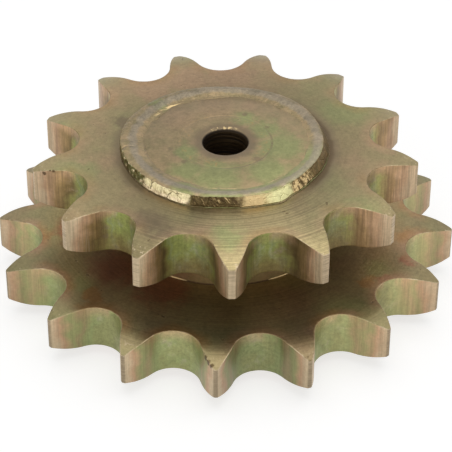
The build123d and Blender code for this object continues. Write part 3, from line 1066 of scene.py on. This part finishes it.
class SprocketPaint(bpy.types.PropertyGroup):
    """Colours of the plating."""

    tan: FloatVectorProperty(
        name="Tan", description="Main colour of the plating", default=(0.28, 0.225, 0.115), **TINT)
    pink: FloatVectorProperty(
        name="Pink", description="Warm clouds in the plating", default=(0.355, 0.235, 0.14), **TINT)
    green: FloatVectorProperty(
        name="Green", description="Green patches in the plating",
        default=(0.25, 0.255, 0.11), **TINT)
    lilac: FloatVectorProperty(
        name="Lilac", description="Greyish crown of the welds and root of the tooth gaps",
        default=(0.29, 0.245, 0.18), **TINT)
    moss: FloatVectorProperty(
        name="Moss", description="Clear green deep in the tooth gaps",
        default=(0.24, 0.268, 0.115), **TINT)
    leaf: FloatVectorProperty(
        name="Leaf", description="Yellow-green of the small plate's gap roots",
        default=(0.24, 0.262, 0.075), **TINT)
    rose: FloatVectorProperty(
        name="Rose", description="Reddish bands on the walls of the tooth gaps",
        default=(0.41, 0.262, 0.155), **TINT)
    olive: FloatVectorProperty(
        name="Olive", description="Dark green streaks", default=(0.19, 0.165, 0.058), **TINT)
    ochre: FloatVectorProperty(
        name="Ochre", description="Warm brown streaks", default=(0.21, 0.14, 0.058), **TINT)
    amber: FloatVectorProperty(
        name="Amber", description="Orange stains round the tooth gaps",
        default=(0.36, 0.2, 0.08), **TINT)
    rust: FloatVectorProperty(
        name="Rust", description="Red-brown patches between the plates",
        default=(0.30, 0.115, 0.07), **TINT)
    # Umber is also painted shade along the cut edges and on the weld's right side.
    umber: FloatVectorProperty(
        name="Umber", description="Dark flanks of the tooth gaps",
        default=(0.125, 0.09, 0.035), **TINT)
    # Brown is also painted shadow beside the weld and painted shade at the collar's foot.
    brown: FloatVectorProperty(
        name="Brown", description="Dark streaks, pits and cracks",
        default=(0.085, 0.052, 0.022), **TINT)
    # Cream is also a painted highlight on the tips.
    cream: FloatVectorProperty(
        name="Cream", description="Bright metal at the tips", default=(0.48, 0.375, 0.24), **TINT)
    # Gold is also painted glints on the weld's crown, the bore's lip and the collar's foot.
    gold: FloatVectorProperty(
        name="Gold", description="Golden torn metal of the welds",
        default=(0.75, 0.56, 0.28), **TINT)
    # Bright is also a painted highlight on the weld's left side.
    bright: FloatVectorProperty(
        name="Bright", description="Palest torn metal of the welds",
        default=(0.88, 0.72, 0.47), **TINT)
    pale_green: FloatVectorProperty(
        name="Pale green", description="Greenish torn metal of the welds",
        default=(0.78, 0.74, 0.38), **TINT)
    # Burr is also a painted highlight along the cut edges.
    burr: FloatVectorProperty(
        name="Burr", description="Burr along the cut edges", default=(0.62, 0.5, 0.35), **TINT)
    rim: FloatVectorProperty(
        name="Rim", description="Edge of the bore", default=(0.165, 0.12, 0.075), **TINT)
    # Soil is also painted shade round the weld's foot and in its fold.
    soil: FloatVectorProperty(
        name="Soil", description="Grey-brown stains, most of all round the welds",
        default=(0.17, 0.125, 0.075), **TINT)
    # Bore is near black as painted shade.
    bore: FloatVectorProperty(
        name="Bore", description="Inside of the bore", default=(0.03, 0.022, 0.015), **TINT)
    backdrop: FloatVectorProperty(
        name="Backdrop", description="Floor and backdrop", default=(0.5, 0.5, 0.5), **TINT)


# --- Operators ---

# The settings that the toothed plate's tree takes under the same name.
PLATE_SIZES = ("chain_pitch", "seat_radius", "seating_angle", "flank_radius", "tip_height",
               "tip_corner", "thickness", "side_radius", "side_relief", "edge_rounding")
HUB_SEGMENTS = 288


class AddToothedPlates(bpy.types.Operator):
    """Add the two toothed plates"""

    bl_idname = "sprocket.add_toothed_plates"
    bl_label = "Toothed Plates"

    def execute(self, context):
        sizes, paint = context.scene.sprocket_sizes, context.scene.sprocket_paint
        tree = bpy.data.node_groups.get("Toothed plate") or toothed_plate_tree()
        shared = {name.replace("_", " ").title(): getattr(sizes, name) for name in PLATE_SIZES}
        front = -math.pi / 2
        worn_ring = 0.03 * MM
        for name, node, finish, teeth, turn, top_groove, bottom_groove, seed in (
                ("toothed_plate_small", "small_sprocket", "Small plate zinc", sizes.small_teeth,
                 sizes.small_turn + front, worn_ring, 0.0, 3.0),
                ("toothed_plate_large", "large_sprocket", "Large plate zinc", sizes.large_teeth,
                 front, 0.0, worn_ring, 11.0)):
            piece = grow(name, tree, {
                **shared,
                "Teeth": teeth,
                "Columns": teeth * TOOTH_STEPS,
                "Top Groove Depth": top_groove,
                "Bottom Groove Depth": bottom_groove,
                "Bottom Height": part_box(node)[0].z,
                "Turn": turn,
                "Seed": seed,
                "Material": plate_zinc(finish, paint, sizes, teeth, turn, LOOKS[node], seed),
            })
            dress(piece, node)
        return {"FINISHED"}


class AddHub(bpy.types.Operator):
    """Add the turned hub"""

    bl_idname = "sprocket.add_hub"
    bl_label = "Hub"

    def execute(self, context):
        hub, small, large = (
            [corner.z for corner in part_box(node)]
            for node in ("hub", "small_sprocket", "large_sprocket"))
        sizes, paint = context.scene.sprocket_sizes, context.scene.sprocket_paint
        profile = hub_profile(sizes, hub, small, large)
        material = hub_zinc("Hub zinc", paint, sizes, large[1] / MM)
        dress(turned("hub_turned", profile, HUB_SEGMENTS, material), "hub")
        return {"FINISHED"}


def quarter_turn(steps):
    """What is left of 1 after the cosine and the sine of each step of a quarter turn."""
    angles = (math.pi / 2 * k / steps for k in range(steps + 1))
    return [(1 - math.cos(a), 1 - math.sin(a)) for a in angles]


def hub_profile(sizes, hub, small, large):
    """The hub's section, from the lower rim of the bore outwards, up and back down the bore.

    hub, small and large hold the bottom and top of the hub and of each plate.
    """
    (bottom, top), (small_bottom, small_top), (large_bottom, large_top) = hub, small, large
    bore, collar, end = sizes.bore_radius, sizes.collar_radius, 19.4 * MM
    chamfer, break_edge, toe, edge = 0.8 * MM, 0.05 * MM, 0.18 * MM, 0.5 * MM
    ridges, ridge = 44, 0.06 * MM

    def rim(height, way):
        """The rounded mouth of the bore, from the bore out to the face."""
        return [(bore + chamfer * b, height - way * chamfer * a)
                for a, b in quarter_turn(6)[::-1]]

    profile = rim(bottom, -1)
    profile += [(SCRIBED_RADIUS - 0.2 * MM, bottom), (end - 0.1 * MM, bottom),
                (end, bottom + break_edge)]
    profile += [(SPIGOT_RADIUS, large_bottom), (SPIGOT_RADIUS, large_top)]
    profile += [(collar + toe * b, large_top + toe * a) for a, b in quarter_turn(5)]
    profile += [(collar - edge * a, small_bottom - edge * b) for a, b in quarter_turn(5)]
    profile += [(SPIGOT_RADIUS, small_bottom), (SPIGOT_RADIUS, small_top),
                (end, top - break_edge), (end - 0.1 * MM, top)]
    profile += [(SCRIBED_RADIUS + out * MM, top - depth * MM) for out, depth in (
        (0.3, 0), (0.15, 0.01), (0.05, 0.05), (-0.05, 0.05), (-0.15, 0.01), (-0.3, 0))]
    profile += rim(top, 1)[::-1]
    for k in range(1, ridges * 2):
        height = top - chamfer - (top - bottom - 2 * chamfer) * k / (ridges * 2)
        profile.append((bore + ridge * (k % 2), height))
    return profile


class AddWelds(bpy.types.Operator):
    """Add the weld round each end of the hub"""

    bl_idname = "sprocket.add_welds"
    bl_label = "Welds"

    def execute(self, context):
        tree = bpy.data.node_groups.get("Dressed weld") or weld_tree()
        material = weld_zinc("Weld zinc", context.scene.sprocket_paint)
        for name, node, height, face, lap_depth, seed in (
                ("weld_upper", "upper_weld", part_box("small_sprocket")[1].z, 1.0, 0.25 * MM, 4.0),
                ("weld_lower", "lower_weld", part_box("large_sprocket")[0].z, -1.0, 0.1 * MM,
                 21.0)):
            piece = grow(name, tree, {
                "Lap Depth": lap_depth,
                "Face Height": height,
                "Face": face,
                "Seed": seed,
                "Material": material,
            })
            dress(piece, node)
        return {"FINISHED"}


class AddStage(bpy.types.Operator):
    """Add the floor, the lamps and the camera"""

    bl_idname = "sprocket.add_stage"
    bl_label = "Stage"

    def execute(self, context):
        scene = context.scene
        scene.view_settings.view_transform = "Standard"
        add_floor(scene.sprocket_paint)
        add_lamps(scene)
        add_camera(scene)
        return {"FINISHED"}


def seen_directly(tree):
    """1 for what the camera sees, and for what metal shows of it."""
    rays = add_node(tree, "ShaderNodeLightPath")
    camera, glossy, through = (
        Term(rays.outputs[name])
        for name in ("Is Camera Ray", "Is Glossy Ray", "Is Transmission Ray"))
    return camera.most(glossy).most(through)


def add_floor(paint):
    """A round pale floor that keeps the shadow and looks white where nothing shades it."""
    mesh = bpy.data.meshes.new("floor")
    shell = bmesh.new()
    bmesh.ops.create_circle(shell, cap_ends=True, segments=96, radius=3.0)
    shell.to_mesh(mesh)
    shell.free()
    material = bpy.data.materials.new("Floor")
    material.use_nodes = True
    tree = material.node_tree
    tree.nodes.clear()
    matt = add_node(tree, "ShaderNodeBsdfDiffuse", {"Color": paint.backdrop})
    glow = add_node(tree, "ShaderNodeEmission",
                    {"Color": WHITE, "Strength": seen_directly(tree) * 0.68})
    both = add_node(tree, "ShaderNodeAddShader", {0: matt.outputs[0], 1: glow.outputs[0]})
    add_node(tree, "ShaderNodeOutputMaterial", {"Surface": both.outputs[0]})
    mesh.materials.append(material)
    add_object("floor", mesh)


def add_lamps(scene):
    """A white room with two large soft lamps."""
    world = bpy.data.worlds.new("White room")
    scene.world = world
    world.use_nodes = True
    tree = world.node_tree
    tree.nodes.clear()
    strength = pick(seen_directly(tree), 0.4, 1.0)
    background = add_node(
        tree, "ShaderNodeBackground", {"Color": WHITE, "Strength": strength})
    add_node(tree, "ShaderNodeOutputWorld", {"Surface": background.outputs[0]})
    centre = Vector((0, 0, 0.018))
    for name, place, width, power in (
            ("lamp_over", (0.05, 0.1, 0.9), 1.2, 3.0),
            ("lamp_front", (-0.3, -0.9, 0.5), 0.5, 0.8)):
        lamp = bpy.data.lights.new(name, "AREA")
        lamp.shape = "DISK"
        lamp.size = width
        lamp.energy = power
        holder = add_object(name, lamp)
        holder.location = place
        holder.rotation_euler = (centre - Vector(place)).to_track_quat("-Z", "Y").to_euler()


def add_camera(scene):
    """A long lens that looks down on the teeth from the front."""
    elevation, azimuth, roll = (math.radians(angle) for angle in (36.261, 2.04, -0.242))
    distance = 0.47365
    focal_length_in_widths = 2028.05 / 452
    turn = Matrix.Rotation(azimuth, 4, "Z")
    target = turn @ Vector((0.000207, 0.0, 0.01111))
    back = turn @ Vector((0.0, -math.cos(elevation), math.sin(elevation)))
    lens = bpy.data.cameras.new("camera")
    lens.sensor_width = 36.0
    lens.lens = lens.sensor_width * focal_length_in_widths
    lens.clip_start = 0.01
    lens.clip_end = 10.0
    holder = add_object("camera", lens)
    holder.rotation_mode = "QUATERNION"
    holder.location = target + back * distance
    look = (-back).to_track_quat("-Z", "Y")
    holder.rotation_quaternion = look @ Matrix.Rotation(-roll, 4, "Z").to_quaternion()
    scene.camera = holder


# --- Panel and start ---


class SprocketPanel(bpy.types.Panel):
    """Lists the sprocket's sizes, colours and pieces"""

    bl_idname = "VIEW3D_PT_sprocket"
    bl_label = "Chain Sprocket"
    bl_space_type = "VIEW_3D"
    bl_region_type = "UI"
    bl_category = "Sprocket"

    def draw(self, context):
        layout = self.layout
        for group in (context.scene.sprocket_sizes, context.scene.sprocket_paint):
            column = layout.column()
            for name in group.__annotations__:
                column.prop(group, name)
        for operator in OPERATORS:
            layout.operator(operator.bl_idname)


OPERATORS = (AddToothedPlates, AddHub, AddWelds, AddStage)
CLASSES = (SprocketSizes, SprocketPaint, *OPERATORS, SprocketPanel)


def register():
    for item in CLASSES:
        bpy.utils.register_class(item)
    bpy.types.Scene.sprocket_sizes = PointerProperty(type=SprocketSizes)
    bpy.types.Scene.sprocket_paint = PointerProperty(type=SprocketPaint)


def unregister():
    del bpy.types.Scene.sprocket_sizes
    del bpy.types.Scene.sprocket_paint
    for item in reversed(CLASSES):
        bpy.utils.unregister_class(item)


def main():
    register()
    bpy.ops.sprocket.add_toothed_plates()
    bpy.ops.sprocket.add_hub()
    bpy.ops.sprocket.add_welds()
    bpy.ops.sprocket.add_stage()


if __name__ == "__main__":
    main()
